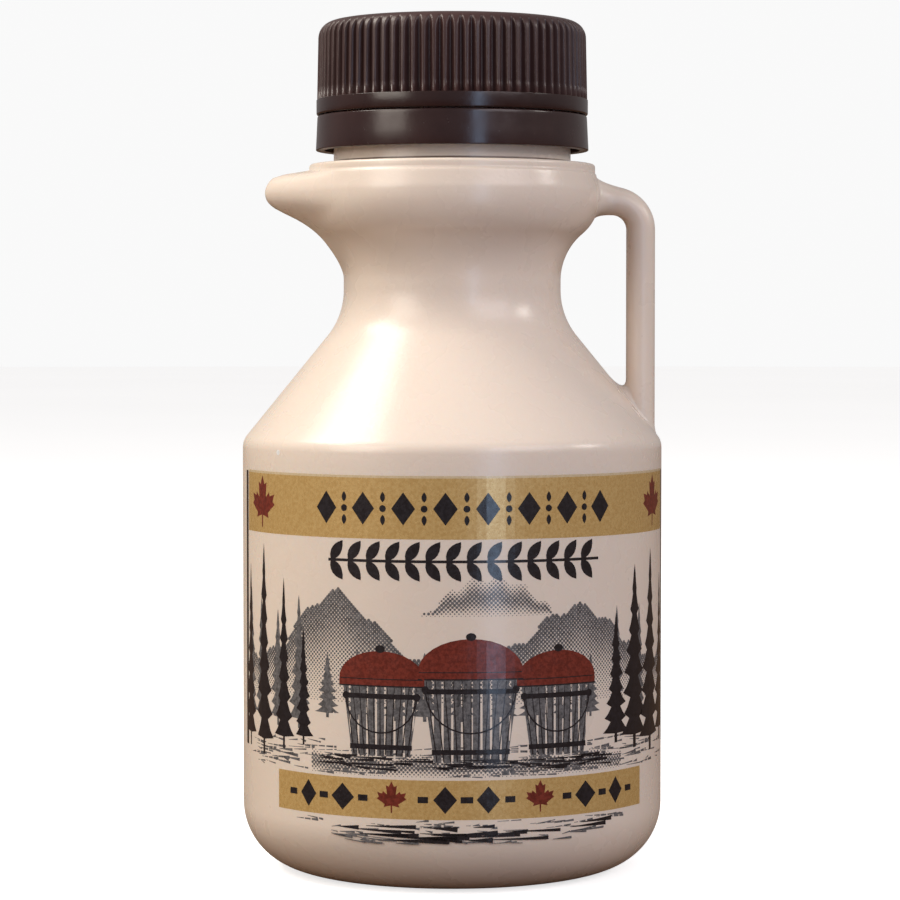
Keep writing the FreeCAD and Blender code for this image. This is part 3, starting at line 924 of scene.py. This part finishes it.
def jug_plastic():
    """Pale plastic with the parting line of its mould, in the plane y = 0, and a painted
    shade line in the corner of neck and flange, where the cap's shadow falls."""
    material, nodes, links, shader = new_material("jug_plastic")
    tone = noise(nodes, links, 30, 1.5)
    plastic = ramp(nodes, links, tone, (0.82, 0.70, 0.60), (0.85, 0.73, 0.63))
    # Painted shade: a dark brown band on the neck just above the flange stands in for the cap's
    # shadow in that corner.
    corner = line_across(nodes, links, "Z", FLANGE_TOP + 0.3, 0.06, 0.24, 0.85)
    links.new(blended_colour(nodes, links, corner, plastic, (0.12, 0.07, 0.05)),
              shader.inputs["Base Color"])
    links.new(noise_range(nodes, links, noise(nodes, links, 160, 3), 0.25, 0.30),
              shader.inputs["Roughness"])
    shader.inputs["Subsurface Weight"].default_value = 0.12
    shader.inputs["Subsurface Radius"].default_value = (1.0, 0.62, 0.4)
    shader.inputs["Subsurface Scale"].default_value = 0.003
    shader.inputs["IOR"].default_value = 1.5
    seam = line_across(nodes, links, "Y", 0, 0.08, 0.26)
    low = bump(nodes, links, shader, seam, 0.6, 0.0001)
    middle = bump(nodes, links, shader, noise(nodes, links, 260, 1), 0.25, 0.0001, low)
    bump(nodes, links, shader, noise(nodes, links, 1600, 2), 0.4, 0.00004, middle)
    return material


def brown_plastic(name, dark, light, roughness, grain):
    material, nodes, links, shader = new_material(name)
    tone = noise(nodes, links, 120, 4, 0.6)
    links.new(ramp(nodes, links, tone, dark, light), shader.inputs["Base Color"])
    wear = noise(nodes, links, 400, 4, 0.65)
    links.new(noise_range(nodes, links, wear, roughness - 0.04, roughness + 0.06),
              shader.inputs["Roughness"])
    shader.inputs["IOR"].default_value = 1.5
    low = bump(nodes, links, shader, noise(nodes, links, 350, 3), 0.3 * grain, 0.00008)
    bump(nodes, links, shader, noise(nodes, links, 2600, 3, 0.7), 0.5 * grain, 0.00004, low)
    return material


def ink_material(name, dark, light, roughness, scale=1800, metallic=0.0):
    material, nodes, links, shader = new_material(name)
    tone = noise(nodes, links, scale, 2, 0.7)
    links.new(ramp(nodes, links, tone, dark, light, 0.38, 0.62), shader.inputs["Base Color"])
    wear = noise(nodes, links, scale * 0.6, 2)
    links.new(noise_range(nodes, links, wear, roughness - 0.03, roughness + 0.05),
              shader.inputs["Roughness"])
    shader.inputs["Metallic"].default_value = metallic
    shader.inputs["IOR"].default_value = 1.6
    bump(nodes, links, shader, noise(nodes, links, scale * 0.8, 2), 0.25, 0.00002)
    return material


def stage_material(name, dark, light, glow=0.0):
    material, nodes, links, shader = new_material(name)
    tone = noise(nodes, links, 2.0, 2)
    links.new(ramp(nodes, links, tone, dark, light), shader.inputs["Base Color"])
    shader.inputs["Roughness"].default_value = 0.8
    shader.inputs["Specular IOR Level"].default_value = 0.1
    shader.inputs["Emission Color"].default_value = (1, 1, 1, 1)
    shader.inputs["Emission Strength"].default_value = glow
    return material


# ---------------------------------------------------------------- pieces

jug = new_piece("jug_moulding", *joined_lists(
    rings_to_mesh(jug_rings()), rings_to_mesh(handle_rings())), [jug_plastic()], "jug")
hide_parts("jug")
cap = new_piece("ribbed_cap", *rings_to_mesh(cap_rings()), [
    brown_plastic("cap_plastic", (0.046, 0.019, 0.018), (0.062, 0.029, 0.027), 0.36, 1.0),
    brown_plastic("collar_plastic", (0.024, 0.009, 0.009), (0.034, 0.014, 0.013), 0.2, 0.5)],
    "cap")
for face in cap.data.polygons:
    face.material_index = int(face.center.z < COLLAR_TOP * MM)
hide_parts("cap")
band = new_piece("smooth_tamper_ring", *joined_lists(
    rings_to_mesh(band_rings(), capped=False), bridge_blocks()), [
    brown_plastic("band_plastic", (0.028, 0.011, 0.011), (0.040, 0.017, 0.016), 0.22, 0.4)],
    "tamper_band")
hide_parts("tamper_band")

# Each ink, how high it stands on the body, and its material's name, darker and lighter
# colour, roughness, and for the two golds the noise's scale and the metallic share.
INKS = (
    ("gold", 0.008, "gold_ink", (0.60, 0.38, 0.135), (0.70, 0.475, 0.19), 0.26, 2200, 0.25),
    ("rim", 0.008, "pale_gold_ink", (0.66, 0.52, 0.32), (0.72, 0.58, 0.38), 0.26, 2200, 0.1),
    ("grey", 0.006, "grey_ink", (0.085, 0.083, 0.087), (0.17, 0.165, 0.17), 0.24),
    ("red", 0.014, "red_ink", (0.125, 0.018, 0.012), (0.21, 0.034, 0.022), 0.22),
    ("black", 0.018, "black_ink", (0.010, 0.009, 0.012), (0.02, 0.018, 0.023), 0.2),
    # The white plate is a painted glint, not a printed colour.
    ("white", 0.02, "painted_glint_white", (0.85, 0.85, 0.85), (0.95, 0.95, 0.95), 0.3),
)
shapes = front_panel()
for colour, height, *look in INKS:
    print_ink(f"print_{colour}", shapes[colour], height, ink_material(*look))


# ---------------------------------------------------------------- stage, light and camera

STAGE_R = 6.0
AIM = (0, 0, 0.07)
# Name, place, aim, width, height, power and colour of each lamp.
LIGHTS = (
    ("key", (-0.62, 0.05, 0.85), AIM, 0.45, 0.45, 7.3, (1.0, 0.95, 0.86)),
    ("left", (-0.78, -0.5, 0.5), AIM, 0.5, 0.6, 4.2, (1.0, 0.92, 0.82)),
    ("strip", (0.076, -0.24, 0.1), (0, 0, 0.1), 0.034, 0.2, 0.085, (0.5, 0.7, 1.0)),
    ("fill", (0.7, -0.85, 0.7), AIM, 0.8, 0.6, 4.4, (1.0, 0.93, 0.97)),
    ("lamp", (1.05, -0.2, 0.62), AIM, 0.24, 0.24, 2.3, (1.0, 0.94, 0.88)),
)


def stage_disc(material, level):
    mesh = bpy.data.meshes.new(material.name)
    maker = bmesh.new()
    bmesh.ops.create_circle(maker, cap_ends=True, segments=96, radius=STAGE_R)
    maker.to_mesh(mesh)
    maker.free()
    mesh.materials.append(material)
    disc = bpy.data.objects.new(material.name, mesh)
    disc.location.z = level
    bpy.context.scene.collection.objects.link(disc)
    return disc


def build_stage():
    """A pale floor for the eye; the jug itself is lit from below by a dim warm table."""
    pale = stage_material("studio_floor", (0.86, 0.86, 0.86), (0.9, 0.9, 0.9), 0.68)
    floor = stage_disc(pale, 0)
    floor.visible_diffuse = floor.visible_glossy = False
    warm = stage_material("warm_table", (0.36, 0.20, 0.10), (0.42, 0.25, 0.14))
    table = stage_disc(warm, -0.0005)
    table.visible_camera = False


def area_light(name, place, aim, width, height, power, colour):
    data = bpy.data.lights.new(name, "AREA")
    data.shape = "RECTANGLE"
    data.size, data.size_y = width, height
    data.energy = power
    data.color = colour
    light = bpy.data.objects.new(name, data)
    light.location = place
    light.rotation_euler = (Vector(aim) - Vector(place)).to_track_quat("-Z", "Y").to_euler()
    bpy.context.scene.collection.objects.link(light)


def build_light():
    """Soft light from all round, a near-white background for the eye, and the lamps."""
    world = bpy.data.worlds.new("studio")
    world.use_nodes = True
    nodes, links = world.node_tree.nodes, world.node_tree.links
    soft = nodes["Background"]
    soft.inputs["Color"].default_value = (1.0, 0.96, 0.95, 1)
    soft.inputs["Strength"].default_value = 0.28
    seen = nodes.new("ShaderNodeBackground")
    seen.inputs["Color"].default_value = (0.95, 0.95, 0.95, 1)
    path = nodes.new("ShaderNodeLightPath")
    mix = nodes.new("ShaderNodeMixShader")
    links.new(path.outputs["Is Camera Ray"], mix.inputs["Fac"])
    links.new(soft.outputs["Background"], mix.inputs[1])
    links.new(seen.outputs["Background"], mix.inputs[2])
    links.new(mix.outputs["Shader"], nodes["World Output"].inputs["Surface"])
    bpy.context.scene.world = world
    for light in LIGHTS:
        area_light(*light)


def build_camera():
    """The photographer stood a little to the left, at the height of the waist."""
    distance, height, turn = 0.4854, 0.08185, math.radians(3.8)
    down, lens, aside = math.radians(2.22), 128.0, 0.00033
    data = bpy.data.cameras.new("camera")
    data.lens = lens
    data.sensor_width = 36.0
    data.clip_start = 0.01
    camera = bpy.data.objects.new("camera", data)
    camera.location = (-distance * math.sin(turn), -distance * math.cos(turn), height)
    aim = Vector((-aside * math.cos(turn), aside * math.sin(turn),
                  height - distance * math.tan(down)))
    camera.rotation_euler = (aim - camera.location).to_track_quat("-Z", "Y").to_euler()
    bpy.context.scene.collection.objects.link(camera)
    bpy.context.scene.camera = camera


build_stage()
build_light()
build_camera()
bpy.context.scene.view_settings.view_transform = "Standard"
